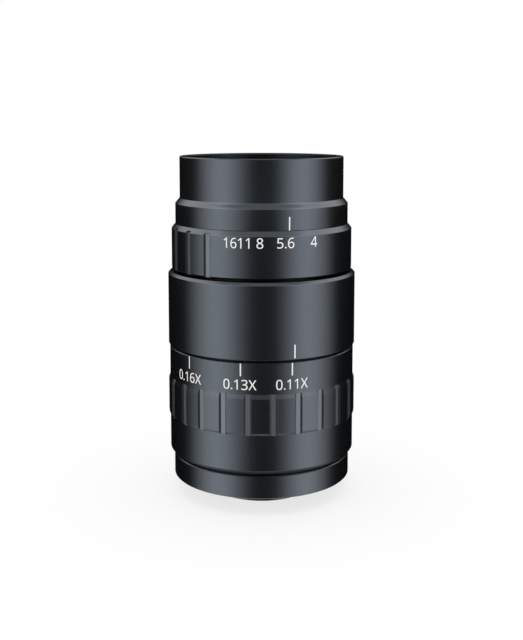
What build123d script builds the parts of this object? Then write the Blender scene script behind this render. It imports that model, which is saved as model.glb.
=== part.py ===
from build123d import *

import os
from math import asin, cos, degrees, hypot, radians, sin, sqrt

# Macro lens for a camera with a 1-inch, 32-per-inch thread.
# Millimetres. The lens stands on its camera thread with the object side up: +Z runs along
# the optical axis towards the object, and the origin is the centre of the thread's end face.
# The model is at its lowest magnification, with the lens head drawn right in.

# Standard interfaces
camera_thread_radius = 25.4 / 2
camera_thread_length = 4.0
camera_thread_relief = 0.6
filter_thread_pitch = 0.5
filter_thread_depth = 6.5
thread_bore_pitches = 0.5413    # from a thread's major radius in to its bore

# Clearances
running = 0.05        # radial gap of a fit that turns or slides
seat = 0.02           # gap of a screwed, pressed or cemented seat
roller_gap = 0.08     # gap each side of a roller in its slot

# Outside, from the camera end to the object end: heights
rear_barrel_height = 5.5
lower_gap = 0.4
ring_foot_chamfer = 1.1
pads_above_foot = 9.6
pad_height = 9.6
pad_top_chamfer = 1.0
pad_foot_chamfer = 0.5
scale_band_height = 7.45
upper_gap = 0.5
middle_barrel_height = 18.0
middle_barrel_chamfer = 0.65
head_gap = 0.6
aperture_ring_height = 11.0
aperture_ring_bevel_height = 1.15
index_band_height = 4.85
tube_bevel_height = 1.3
tube_height = 10.1
edge_break = 0.2
bevel_edge_radius = 0.15      # rounding of the edges round a bevel

# Outside: steps in radius, each from the piece below it
ring_step_out = 0.95
pad_rise = 0.35
middle_step_out = 0.3
aperture_step_in = 0.9
index_band_step_in = 0.95
tube_step_in = 1.1
tube_wall = 1.35              # to the filter thread's major radius

# Grip flutes
flute_width = 1.8
flute_depth = 0.42
flute_side_slope = 0.4
flute_count = 24
first_flute = -8.05             # degrees from the front, towards the right
aperture_flute_pitch = 360 / 22
aperture_flute_first = -34.8    # the flutes run on from here round the back
aperture_flute_count = 14
foot_chamfer = 0.3

# Magnification scale
focal_length = 65.0
lowest_magnification = 0.11
highest_magnification = 0.16
magnification_turn = 66.4     # ring turn between the two end marks
magnification_travel_turn = 70.0

# Walls, from the outside inwards
ring_wall = 2.05
cam_sleeve_wall = 2.05
guide_wall = 0.95
head_wall = 2.95
middle_barrel_wall = 1.75
middle_barrel_step = 1.5
lip_gap = 0.2

# Rear end, outwards from the camera thread
camera_thread_wall = 2.2
mount_flange_thickness = 2.5
mount_flange_recess = 0.3     # round the thread, so that the flange seats flat
mount_screw_offset = 3.3      # from the camera thread out to the screws
mount_flange_margin = 3.0     # from the screws out to the flange's edge
rear_barrel_wall = 2.8
mount_screw_count = 3
mount_screw_radius = 0.8
mount_screw_head_radius = 1.6
mount_screw_length = 4.6
rear_web = 3.0
passage_gap = 1.9             # round the baffle
neck_height = 7.5
neck_wall = 3.65
neck_step = 1.0
spigot_wall = 1.95
washer_thickness = 0.5
lock_ring_height = 1.6
lip_height = 1.5
guide_flange_height = 3.0
guide_end_gap = 1.4           # between the guide tube and the lip over it
top_lip_height = 2.6

# Rear baffle
baffle_wall = 1.1
baffle_height = 16.5
baffle_rib_count = 6
baffle_rib_depth = 0.45

# Cam rollers
roller_count = 3
roller_radius = 1.5
roller_end_depth = 0.2        # screw heads inside the cam sleeve's outer face
roller_above_washer = 10.0
roller_screw_radius = 0.7
roller_screw_head_radius = 1.25
roller_screw_head = 0.55
roller_seat_depth = 0.35

# Lens head
head_skirt = 5.0              # head sleeve below the rollers
head_flange_step = 1.3        # flange outside the aperture ring's journal
head_flange_height = 2.0
aperture_ring_wall = 2.6
ledge_height = 1.5
ledge_width = 2.1
cell_bore_wall = 3.65         # wall of the head sleeve where the aperture ring turns

# Iris
blade_count = 8
stop_inset = 4.8              # from the pivots in to the open stop
lowest_stop = 4.0
highest_stop = 16.0
blade_width = 3.2
blade_span = 125.0
blade_thickness = 0.1
blade_pitch = 0.14
pivot_inset = 3.43            # from the housing's outer face in to the pivots
drive_arm = 3.6
drive_arm_angle = 83.0        # arm direction with the iris open, from outwards
iris_pin_radius = 0.4
tab_radius = 0.75
iris_floor = 1.0
iris_gap = 0.15
drive_plate = 1.0
drive_rim_height = 1.9
drive_rim_width = 1.2
iris_retainer_height = 0.8
iris_retainer_step = 0.5
iris_wall_gap = 0.2           # from the outermost tab to the housing wall
aperture_index_turn = 15.5    # turn left from rest to the lowest f-number
aperture_far_turn = 36.2      # turn from rest to the highest f-number
drive_pin_radius = 0.8
drive_pin_engagement = 1.5
drive_pin_angle = 90.0

# Glass: steps of the edges, centre thicknesses and radii of curvature
front_doublet_step = 1.0
rear_doublet_step = 0.4
front_dish_rim = 2.9
rear_dish_rim = 2.5
front_glass_thickness = 4.0
rear_glass_thickness = 3.3
crown_thickness = 2.9
flint_thickness = 1.3
front_glass_bends = (38.0, 110.0)
rear_glass_bends = (90.0, -45.0)
outer_bend = 26.0
cement_bend = 60.0
inner_bend = 24.0
air_gap = 0.7

# Lens cells
front_cell_wall = 2.8
rear_cell_wall = 2.75
cell_ledge = 1.0
ledge_cover = 1.1             # how far a ledge reaches over its glass, past the dish
spacer_width = 0.45
retainer_height = 2.0
retainer_overlap = 0.8
retainer_thread = 0.6
cell_flange_height = 1.5
cell_nose_wall = 1.9
cell_lip = 0.3
cell_nose_gap = 2.1           # from the nose out to the front barrel

# Positions along the axis, worked out upwards from the thread's end
flange_z = camera_thread_length
rear_top_z = flange_z + rear_barrel_height
ring_foot_z = rear_top_z + lower_gap
pads_foot_z = ring_foot_z + pads_above_foot
pads_top_z = pads_foot_z + pad_height
ring_top_z = pads_top_z + scale_band_height
middle_foot_z = ring_top_z + upper_gap
middle_top_z = middle_foot_z + middle_barrel_height
aperture_foot_z = middle_top_z + head_gap
aperture_top_z = aperture_foot_z + aperture_ring_height
band_foot_z = aperture_top_z + 2 * running
band_top_z = band_foot_z + index_band_height
tube_foot_z = band_top_z + tube_bevel_height
rim_z = tube_foot_z + tube_height

# Radii at the rear and outside, worked out outwards from the camera thread
light_bore_radius = camera_thread_radius - camera_thread_wall
baffle_outer = light_bore_radius + baffle_wall
passage_radius = baffle_outer + passage_gap
mount_screw_circle = camera_thread_radius + mount_screw_offset
mount_flange_radius = mount_screw_circle + mount_flange_margin
rear_barrel_radius = mount_flange_radius + rear_barrel_wall
ring_radius = rear_barrel_radius + ring_step_out
pad_radius = ring_radius + pad_rise
middle_barrel_radius = ring_radius + middle_step_out
aperture_ring_radius = middle_barrel_radius - aperture_step_in
index_band_radius = aperture_ring_radius - index_band_step_in
tube_radius = index_band_radius - tube_step_in
filter_thread_major_radius = tube_radius - tube_wall

# Radii of the focusing parts, worked out inwards from the magnification ring
ring_bore = ring_radius - ring_wall
cam_outer = ring_bore - running
cam_bore = cam_outer - cam_sleeve_wall
guide_outer = cam_bore - running
guide_bore = guide_outer - guide_wall
head_outer = guide_bore - running
head_bore = head_outer - head_wall
neck_bore = cam_outer - neck_wall
spigot_outer = neck_bore - seat
spigot_bore = spigot_outer - spigot_wall
guide_flange_radius = middle_barrel_radius - middle_barrel_wall - seat

# Radii of the head, worked out inwards from the aperture ring
aperture_bore = aperture_ring_radius - aperture_ring_wall
journal_radius = aperture_bore - running
head_flange_radius = journal_radius + head_flange_step
cell_bore = journal_radius - cell_bore_wall
iris_outer = cell_bore - seat
pivot_radius = iris_outer - pivot_inset
stop_radius = pivot_radius - stop_inset

# Radii of the glass and its retaining rings, worked out inwards from their cells
front_retainer_outer = cell_bore - seat - front_cell_wall - seat
front_glass_radius = front_retainer_outer - retainer_thread
front_doublet_radius = front_glass_radius - front_doublet_step
front_dish_radius = front_doublet_radius - front_dish_rim
rear_retainer_outer = head_bore - seat - rear_cell_wall - seat
rear_glass_radius = rear_retainer_outer - retainer_thread
rear_doublet_radius = rear_glass_radius - rear_doublet_step
rear_dish_radius = rear_doublet_radius - rear_dish_rim

# Levels of the parts inside
spigot_foot_z = flange_z + mount_flange_thickness + rear_web
neck_top_z = rear_top_z + neck_height
washer_top_z = neck_top_z + washer_thickness
lock_foot_z = washer_top_z + running
cam_foot_z = lock_foot_z + lock_ring_height
cam_top_z = ring_top_z - lip_height
guide_top_z = middle_top_z - top_lip_height - guide_end_gap
roller_z = washer_top_z + roller_above_washer
head_foot_z = roller_z - head_skirt
head_flange_z = aperture_foot_z + edge_break
journal_foot_z = head_flange_z + head_flange_height
ledge_foot_z = head_flange_z + edge_break
iris_foot_z = ledge_foot_z + ledge_height

# Travel of the head for a full turn of the magnification ring
marked_travel = focal_length * (highest_magnification - lowest_magnification)
lead_per_degree = marked_travel / magnification_turn
head_travel = lead_per_degree * magnification_travel_turn
roller_angles = [-30 + 360 / roller_count * i for i in range(roller_count)]

# Turn of a blade between the widest and the smallest stop
smallest_stop_radius = stop_radius * lowest_stop / highest_stop
blade_turn = 2 * degrees(asin((stop_radius - smallest_stop_radius) / (2 * pivot_radius)))
aperture_turn = aperture_index_turn + aperture_far_turn
blade_ratio = blade_turn / aperture_turn
blade_rest = blade_ratio * aperture_index_turn

# Iris stack
blade_foot_z = iris_foot_z + iris_floor + iris_gap
blades_top_z = blade_foot_z + (blade_count - 1) * blade_pitch + blade_thickness
drive_foot_z = blades_top_z + iris_gap
drive_top_z = drive_foot_z + drive_plate + drive_rim_height
iris_step_z = drive_top_z + running
iris_top_z = iris_step_z + iris_retainer_height
drive_pin_z = drive_top_z - drive_rim_height / 2


def section(*corners):
    """Half section of a turned piece, its corners given as (radius, height)."""
    with BuildSketch(Plane.XZ) as half:
        with BuildLine():
            Polyline(*corners, close=True)
        make_face()
    return half.sketch


def radial_plane(angle, height, radius=0.0):
    """Plane that faces outwards at an angle from the front, its x axis along +Z."""
    turn = radians(angle - 90)
    outwards = (cos(turn), sin(turn), 0)
    origin = (radius * outwards[0], radius * outwards[1], height)
    return Plane(origin=origin, x_dir=(0, 0, 1), z_dir=outwards)


def turned_edges(piece, *corners):
    """Circular edges of a turned piece at its corners, given as (radius, height)."""
    circles = piece.edges().filter_by(GeomType.CIRCLE)
    found = ShapeList()
    for radius, height in corners:
        level = circles.filter_by_position(Axis.Z, height - seat, height + seat)
        found += level.filter_by(lambda edge: abs(edge.radius - radius) < seat)
    return found


def finish(piece, name):
    """Name a finished piece and write its file."""
    piece.part.label = name
    export_step(piece.part, "parts/" + name + ".step")


os.makedirs("parts", exist_ok=True)

# Mount ring: the thread spigot, its relief groove and a flange that fills the rear barrel
spigot_relief_z = flange_z - camera_thread_relief
flange_top_z = flange_z + mount_flange_thickness
recess_z = flange_z + mount_flange_recess
with BuildPart() as mount_ring:
    revolve(section(
        (light_bore_radius, 0),
        (camera_thread_radius - 2 * edge_break, 0),
        (camera_thread_radius, 2 * edge_break),
        (camera_thread_radius, spigot_relief_z),
        (camera_thread_radius - camera_thread_relief, spigot_relief_z),
        (camera_thread_radius - camera_thread_relief, recess_z),
        (camera_thread_radius + mount_flange_recess, recess_z),
        (camera_thread_radius + mount_flange_recess, flange_z),
        (mount_flange_radius, flange_z),
        (mount_flange_radius, flange_top_z),
        (baffle_outer + seat, flange_top_z),
        (baffle_outer + seat, flange_z),
        (light_bore_radius, flange_z),
    ), axis=Axis.Z)
    with Locations(Plane(origin=(0, 0, flange_z), x_dir=(1, 0, 0), z_dir=(0, 0, -1))):
        with PolarLocations(mount_screw_circle, mount_screw_count):
            CounterSinkHole(mount_screw_radius + seat, mount_screw_head_radius + seat)
finish(mount_ring, "mount_ring")

# Mount screws: countersunk, slotted, driven from the camera side
screw_cone = mount_screw_head_radius - mount_screw_radius
with BuildPart() as mount_screw:
    revolve(section(
        (0, 0),
        (mount_screw_head_radius, 0),
        (mount_screw_radius, screw_cone),
        (mount_screw_radius, mount_screw_length),
        (0, mount_screw_length),
    ), axis=Axis.Z)
    with BuildSketch(Plane.XY):
        Rectangle(2 * mount_screw_head_radius, mount_screw_radius / 2)
    extrude(amount=screw_cone / 2, mode=Mode.SUBTRACT)

with BuildPart() as mount_screws:
    with Locations((0, 0, flange_z)):
        with PolarLocations(mount_screw_circle, mount_screw_count):
            add(mount_screw.part)
finish(mount_screws, "mount_screws")

# Rear barrel: the band seen from outside and the neck that the magnification ring turns on
with BuildPart() as rear_barrel:
    revolve(section(
        (mount_flange_radius + seat, flange_z),
        (rear_barrel_radius - edge_break, flange_z),
        (rear_barrel_radius, flange_z + edge_break),
        (rear_barrel_radius, rear_top_z - edge_break),
        (rear_barrel_radius - edge_break, rear_top_z),
        (cam_outer, rear_top_z),
        (cam_outer, neck_top_z),
        (neck_bore, neck_top_z),
        (neck_bore, spigot_foot_z),
        (passage_radius, spigot_foot_z),
        (passage_radius, flange_top_z),
        (mount_flange_radius + seat, flange_top_z),
    ), axis=Axis.Z)
    with BuildSketch(Plane.XY.offset(flange_top_z)):
        with PolarLocations(mount_screw_circle, mount_screw_count):
            Circle(mount_screw_radius + seat)
    extrude(amount=mount_screw_length - mount_flange_thickness + edge_break, mode=Mode.SUBTRACT)
finish(rear_barrel, "rear_barrel")

# Rear baffle: a tube with saw-tooth ribs that stop stray light
rib_pitch = (baffle_height - 2 * baffle_wall) / baffle_rib_count
rib_corners = []
for rib in range(baffle_rib_count):
    rib_z = flange_z + baffle_wall + rib * rib_pitch
    rib_corners.append((light_bore_radius, rib_z))
    rib_corners.append((light_bore_radius + baffle_rib_depth, rib_z))
with BuildPart() as rear_baffle:
    revolve(section(
        (light_bore_radius, flange_z),
        *rib_corners,
        (light_bore_radius, flange_z + baffle_wall + baffle_rib_count * rib_pitch),
        (light_bore_radius, flange_z + baffle_height),
        (baffle_outer, flange_z + baffle_height),
        (baffle_outer, flange_z),
    ), axis=Axis.Z)
finish(rear_baffle, "rear_baffle")

# Guide tube: screwed into the neck, with straight slots that keep the head from turning
spigot_step_z = neck_top_z + spigot_wall
flange_step_z = middle_foot_z + guide_flange_height
with BuildPart() as guide_tube:
    revolve(section(
        (spigot_bore, spigot_foot_z),
        (spigot_outer, spigot_foot_z),
        (spigot_outer, neck_top_z),
        (guide_outer, neck_top_z),
        (guide_outer, middle_foot_z),
        (guide_flange_radius, middle_foot_z),
        (guide_flange_radius, flange_step_z),
        (guide_outer, flange_step_z),
        (guide_outer, guide_top_z),
        (guide_bore, guide_top_z),
        (guide_bore, spigot_step_z),
        (spigot_bore, spigot_step_z - spigot_wall / 2),
    ), axis=Axis.Z)
    for angle in roller_angles:
        with BuildSketch(radial_plane(angle, roller_z)):
            with Locations((head_travel / 2, 0)):
                SlotCenterToCenter(head_travel, 2 * (roller_radius + roller_gap))
        extrude(amount=middle_barrel_radius, mode=Mode.SUBTRACT)
finish(guide_tube, "guide_tube")

# Middle barrel: the plain cover, screwed down on the guide tube's flange
middle_bore = guide_flange_radius + seat
middle_neck_bore = middle_bore - middle_barrel_step
with BuildPart() as middle_barrel:
    revolve(section(
        (middle_bore, middle_foot_z),
        (middle_barrel_radius - edge_break, middle_foot_z),
        (middle_barrel_radius, middle_foot_z + edge_break),
        (middle_barrel_radius, middle_top_z - middle_barrel_chamfer),
        (middle_barrel_radius - middle_barrel_chamfer, middle_top_z),
        (head_outer + lip_gap, middle_top_z),
        (head_outer + lip_gap, middle_top_z - top_lip_height),
        (middle_neck_bore, middle_top_z - top_lip_height),
        (middle_neck_bore, flange_step_z),
        (middle_bore, flange_step_z),
    ), axis=Axis.Z)
    bevel_edges = turned_edges(
        middle_barrel.part,
        (middle_barrel_radius, middle_top_z - middle_barrel_chamfer),
        (middle_barrel_radius - middle_barrel_chamfer, middle_top_z),
    )
    fillet(bevel_edges, radius=bevel_edge_radius)
finish(middle_barrel, "middle_barrel")

# Thrust washer on the neck
with BuildPart() as thrust_washer:
    with BuildSketch(Plane.XY.offset(neck_top_z)):
        Circle(cam_outer - running)
        Circle(cam_bore + running, mode=Mode.SUBTRACT)
    extrude(amount=washer_thickness)
finish(thrust_washer, "thrust_washer")


def flute_cutter(radius, angle, foot_z, height):
    """Straight flute with sloping sides, cut flute_depth deep into a turned surface."""
    outside = radius * 0.01 + flute_depth
    with BuildPart() as cutter:
        with BuildSketch(Plane.XY.offset(foot_z)):
            with BuildLine():
                half = flute_width / 2
                deep = half - flute_side_slope * flute_depth
                wide = half + flute_side_slope * outside
                Polyline(
                    (radius - flute_depth, -deep),
                    (radius + outside, -wide),
                    (radius + outside, wide),
                    (radius - flute_depth, deep),
                    close=True,
                )
            make_face()
        extrude(amount=height)
    return cutter.part.rotate(Axis.Z, angle)


# Magnification ring: bevelled foot, raised grip with flutes, and an inner lip at the top
with BuildPart() as magnification_ring:
    revolve(section(
        (ring_bore, ring_foot_z),
        (ring_radius - ring_foot_chamfer, ring_foot_z),
        (ring_radius, ring_foot_z + ring_foot_chamfer),
        (ring_radius, pads_foot_z),
        (pad_radius, pads_foot_z + pad_foot_chamfer),
        (pad_radius, pads_top_z - pad_top_chamfer),
        (ring_radius, pads_top_z),
        (ring_radius, ring_top_z - edge_break),
        (ring_radius - edge_break, ring_top_z),
        (ring_bore - edge_break, ring_top_z),
        (ring_bore - edge_break, middle_foot_z - running),
        (cam_bore + edge_break, middle_foot_z - running),
        (cam_bore + edge_break, cam_top_z),
        (ring_bore, cam_top_z),
    ), axis=Axis.Z)
    bevel_edges = turned_edges(
        magnification_ring.part,
        (ring_radius, ring_foot_z + ring_foot_chamfer),
        (pad_radius, pads_top_z - pad_top_chamfer),
    )
    fillet(bevel_edges, radius=bevel_edge_radius)
    for flute in range(flute_count):
        angle = first_flute - 90 + 360 / flute_count * flute
        add(flute_cutter(pad_radius, angle, pads_foot_z, pad_height), mode=Mode.SUBTRACT)
finish(magnification_ring, "magnification_ring")

# Cam sleeve: three left-hand helical slots lift the rollers as the ring turns right
cam_mean = (cam_outer + cam_bore) / 2
slot_half = roller_radius + roller_gap
with BuildPart() as helix_slot:
    with BuildLine() as slot_path:
        Helix(
            pitch=lead_per_degree * 360,
            height=head_travel,
            radius=cam_mean,
            center=(0, 0, roller_z),
            lefthand=True,
        )
    path = slot_path.line
    start = Plane(origin=path @ 0, x_dir=(1, 0, 0), z_dir=path % 0)
    with BuildSketch(start):
        Rectangle(2 * cam_sleeve_wall, 2 * slot_half)
    sweep(path=path, is_frenet=True)
    for turn in (0, -magnification_travel_turn):
        lift = -turn * lead_per_degree
        with BuildSketch(radial_plane(turn + 90, roller_z + lift, cam_mean - cam_sleeve_wall)):
            Circle(slot_half)
        extrude(amount=2 * cam_sleeve_wall)

with BuildPart() as cam_sleeve:
    with BuildSketch(Plane.XY.offset(cam_foot_z)):
        Circle(cam_outer)
        Circle(cam_bore, mode=Mode.SUBTRACT)
    extrude(amount=cam_top_z - cam_foot_z)
    for angle in roller_angles:
        add(helix_slot.part.rotate(Axis.Z, angle - 90), mode=Mode.SUBTRACT)
finish(cam_sleeve, "cam_sleeve")

# Cam lock ring, with two notches for a spanner
with BuildPart() as cam_lock_ring:
    with BuildSketch(Plane.XY.offset(lock_foot_z)):
        Circle(cam_outer)
        Circle(cam_bore, mode=Mode.SUBTRACT)
    extrude(amount=lock_ring_height)
    with BuildSketch(Plane.XY.offset(lock_foot_z)):
        Rectangle(2 * ring_radius, lock_ring_height)
    extrude(amount=lock_ring_height / 2, mode=Mode.SUBTRACT)
finish(cam_lock_ring, "cam_lock_ring")

# Head sleeve: slides in the guide tube, carries the rollers, the cells and the aperture ring
head_top_z = band_foot_z + index_band_height / 2
thread_neck_radius = journal_radius - neck_step
roller_seat_radius = head_outer - roller_seat_depth
roller_screw_reach = head_wall - roller_seat_depth - 2 * edge_break
drive_slot_height = 2 * (drive_pin_radius + roller_gap)


def drive_slot(outer, inner):
    """Arc slot that the drive pin sweeps, through the wall between two radii."""
    margin = degrees((drive_pin_radius + roller_gap) / inner)
    low = drive_pin_z - drive_slot_height / 2
    with BuildPart() as slot:
        with BuildSketch(Plane.XZ):
            with Locations(((outer + inner) / 2, drive_pin_z)):
                Rectangle(outer - inner + 2 * edge_break, drive_slot_height)
        revolve(axis=Axis.Z, revolution_arc=aperture_turn + 2 * margin)
    return slot.part.rotate(Axis.Z, drive_pin_angle - aperture_index_turn - margin)


with BuildPart() as head_sleeve:
    revolve(section(
        (head_bore, head_foot_z),
        (head_outer - edge_break, head_foot_z),
        (head_outer, head_foot_z + edge_break),
        (head_outer, head_flange_z),
        (head_flange_radius, head_flange_z),
        (head_flange_radius, journal_foot_z),
        (journal_radius, journal_foot_z),
        (journal_radius, band_foot_z),
        (thread_neck_radius, band_foot_z),
        (thread_neck_radius, head_top_z),
        (cell_bore, head_top_z),
        (cell_bore, iris_foot_z),
        (head_bore - ledge_width, iris_foot_z),
        (head_bore - ledge_width, ledge_foot_z),
        (head_bore, ledge_foot_z),
    ), axis=Axis.Z)
    for angle in roller_angles:
        with BuildSketch(radial_plane(angle, roller_z, roller_seat_radius)):
            Circle(roller_radius + roller_gap)
        extrude(amount=head_wall, mode=Mode.SUBTRACT)
        with BuildSketch(radial_plane(angle, roller_z, roller_seat_radius - roller_screw_reach)):
            Circle(roller_screw_radius + seat)
        extrude(amount=head_wall, mode=Mode.SUBTRACT)
    add(drive_slot(journal_radius, cell_bore), mode=Mode.SUBTRACT)
finish(head_sleeve, "head_sleeve")

# Cam rollers and the screws that they turn on
roller_end_radius = cam_outer - roller_end_depth - roller_screw_head
with BuildPart() as cam_rollers:
    for angle in roller_angles:
        with BuildSketch(radial_plane(angle, roller_z, roller_seat_radius)):
            Circle(roller_radius)
            Circle(roller_screw_radius + running, mode=Mode.SUBTRACT)
        extrude(amount=roller_end_radius - roller_seat_radius)
finish(cam_rollers, "cam_rollers")

with BuildPart() as roller_screws:
    for angle in roller_angles:
        with BuildSketch(radial_plane(angle, roller_z, roller_seat_radius - roller_screw_reach)):
            Circle(roller_screw_radius)
        extrude(amount=roller_screw_reach + roller_end_radius - roller_seat_radius)
        with BuildSketch(radial_plane(angle, roller_z, roller_end_radius)):
            Circle(roller_screw_head_radius)
        extrude(amount=roller_screw_head)
        with BuildSketch(radial_plane(angle, roller_z, roller_end_radius + roller_screw_head)):
            Rectangle(2 * roller_screw_head_radius, roller_screw_radius / 2)
        extrude(amount=-roller_screw_head / 2, mode=Mode.SUBTRACT)
finish(roller_screws, "roller_screws")


def pin_place(turn):
    """Drive pin of the first blade when it has turned from fully open, as (x, y)."""
    direction = radians(drive_arm_angle + turn)
    return (pivot_radius + drive_arm * cos(direction), drive_arm * sin(direction))


# Iris housing: floor with the blades' pivot holes, and a wall slotted for the drive pin
iris_wall_radius = hypot(*pin_place(0)) + tab_radius + iris_wall_gap
iris_floor_z = iris_foot_z + iris_floor
iris_step_radius = iris_wall_radius + iris_retainer_step
blade_angles = [360 / blade_count * i for i in range(blade_count)]
with BuildPart() as iris_housing:
    revolve(section(
        (stop_radius + edge_break, iris_foot_z),
        (iris_outer, iris_foot_z),
        (iris_outer, iris_top_z),
        (iris_step_radius, iris_top_z),
        (iris_step_radius, iris_step_z),
        (iris_wall_radius, iris_step_z),
        (iris_wall_radius, iris_floor_z),
        (stop_radius + edge_break, iris_floor_z),
    ), axis=Axis.Z)
    with BuildSketch(Plane.XY.offset(iris_foot_z)):
        with PolarLocations(pivot_radius, blade_count):
            Circle(iris_pin_radius + running)
    extrude(amount=iris_floor, mode=Mode.SUBTRACT)
    add(drive_slot(iris_outer, iris_wall_radius), mode=Mode.SUBTRACT)
finish(iris_housing, "iris_housing")


def blade_outline():
    """Open blade on the first pivot: a curved leaf and the tab that holds its two pins."""
    leaf_radius = stop_radius + blade_width / 2
    pivot = (pivot_radius, 0)
    root = (leaf_radius, 0)
    shoulder = (leaf_radius * cos(radians(drive_arm_angle / 4)),
                leaf_radius * sin(radians(drive_arm_angle / 4)))
    with BuildSketch() as tab:
        with Locations(pivot, pin_place(0), root, shoulder):
            Circle(tab_radius)
        make_hull()
    with BuildSketch() as outline:
        SlotArc(CenterArc((0, 0), leaf_radius, 0, blade_span), blade_width)
        add(tab.sketch)
    return outline.sketch


def iris_blade(number):
    """One blade at its own level, turned in from open to its place at rest."""
    foot = blade_foot_z + number * blade_pitch
    pivot_foot = iris_foot_z + edge_break
    drive_top = drive_foot_z + drive_plate - edge_break
    with BuildPart() as blade:
        add(Plane.XY.offset(foot) * blade_outline())
        extrude(amount=blade_thickness)
        with BuildSketch(Plane.XY.offset(pivot_foot)):
            with Locations((pivot_radius, 0)):
                Circle(iris_pin_radius)
        extrude(amount=foot - pivot_foot)
        with BuildSketch(Plane.XY.offset(foot + blade_thickness)):
            with Locations(pin_place(0)):
                Circle(iris_pin_radius)
        extrude(amount=drive_top - foot - blade_thickness)
    pivot = Axis((pivot_radius, 0, 0), (0, 0, 1))
    return blade.part.rotate(pivot, blade_rest).rotate(Axis.Z, blade_angles[number])


# Iris blades, stacked like a spiral stair, each with a pivot pin below and a drive pin above
for number in range(blade_count):
    with BuildPart() as blade:
        add(iris_blade(number))
    finish(blade, "iris_blade_" + str(number + 1))


def slot_point(turn):
    """Where the drive ring carries the first blade's pin, in the ring's own frame."""
    x, y = pin_place(blade_ratio * (turn + aperture_index_turn))
    back = radians(-turn)
    return (x * cos(back) - y * sin(back), x * sin(back) + y * cos(back))


# Iris drive ring: a plate with a cam slot for each blade, and a rim for the drive pin
drive_outer = iris_wall_radius - running
with BuildPart() as iris_drive_ring:
    revolve(section(
        (stop_radius + 3 * edge_break, drive_foot_z),
        (drive_outer, drive_foot_z),
        (drive_outer, drive_top_z),
        (drive_outer - drive_rim_width, drive_top_z),
        (drive_outer - drive_rim_width, drive_foot_z + drive_plate),
        (stop_radius + 3 * edge_break, drive_foot_z + drive_plate),
    ), axis=Axis.Z)
    with BuildSketch(Plane.XY.offset(drive_foot_z)):
        with PolarLocations(0, blade_count):
            cam_line = ThreePointArc(
                slot_point(-aperture_index_turn),
                slot_point((aperture_far_turn - aperture_index_turn) / 2),
                slot_point(aperture_far_turn),
            )
            SlotArc(cam_line, 2 * (iris_pin_radius + roller_gap))
    extrude(amount=drive_plate, mode=Mode.SUBTRACT)
    with BuildSketch(radial_plane(drive_pin_angle + 90, drive_pin_z)):
        Circle(drive_pin_radius + seat)
    extrude(amount=ring_radius, mode=Mode.SUBTRACT)
finish(iris_drive_ring, "iris_drive_ring")

# Iris retaining ring, pressed into the housing's step, with two spanner notches
with BuildPart() as iris_retaining_ring:
    with BuildSketch(Plane.XY.offset(iris_step_z)):
        Circle(iris_step_radius - seat)
        Circle(drive_outer - drive_rim_width, mode=Mode.SUBTRACT)
    extrude(amount=iris_retainer_height)
    with BuildSketch(Plane.XY.offset(iris_top_z)):
        Rectangle(2 * iris_outer, iris_retainer_height)
    extrude(amount=-iris_retainer_height / 2, mode=Mode.SUBTRACT)
finish(iris_retaining_ring, "iris_retaining_ring")

# Aperture ring: bevelled top, flutes round the back, and a keyway for the drive pin
key_end = aperture_bore + drive_pin_engagement
with BuildPart() as aperture_ring:
    revolve(section(
        (head_flange_radius + 2 * running, aperture_foot_z),
        (aperture_ring_radius - foot_chamfer, aperture_foot_z),
        (aperture_ring_radius, aperture_foot_z + foot_chamfer),
        (aperture_ring_radius, aperture_top_z - aperture_ring_bevel_height),
        (index_band_radius, aperture_top_z),
        (aperture_bore, aperture_top_z),
        (aperture_bore, journal_foot_z + running),
        (head_flange_radius + 2 * running, journal_foot_z + running),
    ), axis=Axis.Z)
    bevel_edges = turned_edges(
        aperture_ring.part,
        (aperture_ring_radius, aperture_top_z - aperture_ring_bevel_height),
    )
    fillet(bevel_edges, radius=bevel_edge_radius)
    for flute in range(aperture_flute_count):
        angle = aperture_flute_first - 90 - aperture_flute_pitch * flute
        cutter = flute_cutter(aperture_ring_radius, angle, aperture_foot_z, aperture_ring_height)
        add(cutter, mode=Mode.SUBTRACT)
    with BuildSketch(radial_plane(drive_pin_angle + 90, drive_pin_z)):
        Circle(drive_pin_radius + roller_gap)
        with Locations(((aperture_foot_z - drive_pin_z) / 2, 0)):
            Rectangle(drive_pin_z - aperture_foot_z, 2 * (drive_pin_radius + roller_gap))
    extrude(amount=key_end + edge_break, mode=Mode.SUBTRACT)
finish(aperture_ring, "aperture_ring")

# Drive pin, screwed into the drive ring's rim and reaching out into the keyway
drive_pin_start = drive_outer - drive_rim_width + edge_break
with BuildPart() as drive_pin:
    with BuildSketch(radial_plane(drive_pin_angle + 90, drive_pin_z, drive_pin_start)):
        Circle(drive_pin_radius)
    extrude(amount=key_end - drive_pin_start)
    with BuildSketch(radial_plane(drive_pin_angle + 90, drive_pin_z, key_end)):
        Rectangle(drive_pin_radius / 2, 2 * drive_pin_radius)
    extrude(amount=-drive_pin_radius / 2, mode=Mode.SUBTRACT)
finish(drive_pin, "drive_pin")


def face_height(vertex, bend, radius):
    """Height of a spherical face at a radius; a positive bend falls away from the vertex."""
    fall = abs(bend) - sqrt(bend * bend - radius * radius)
    return vertex - fall if bend > 0 else vertex + fall


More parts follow.
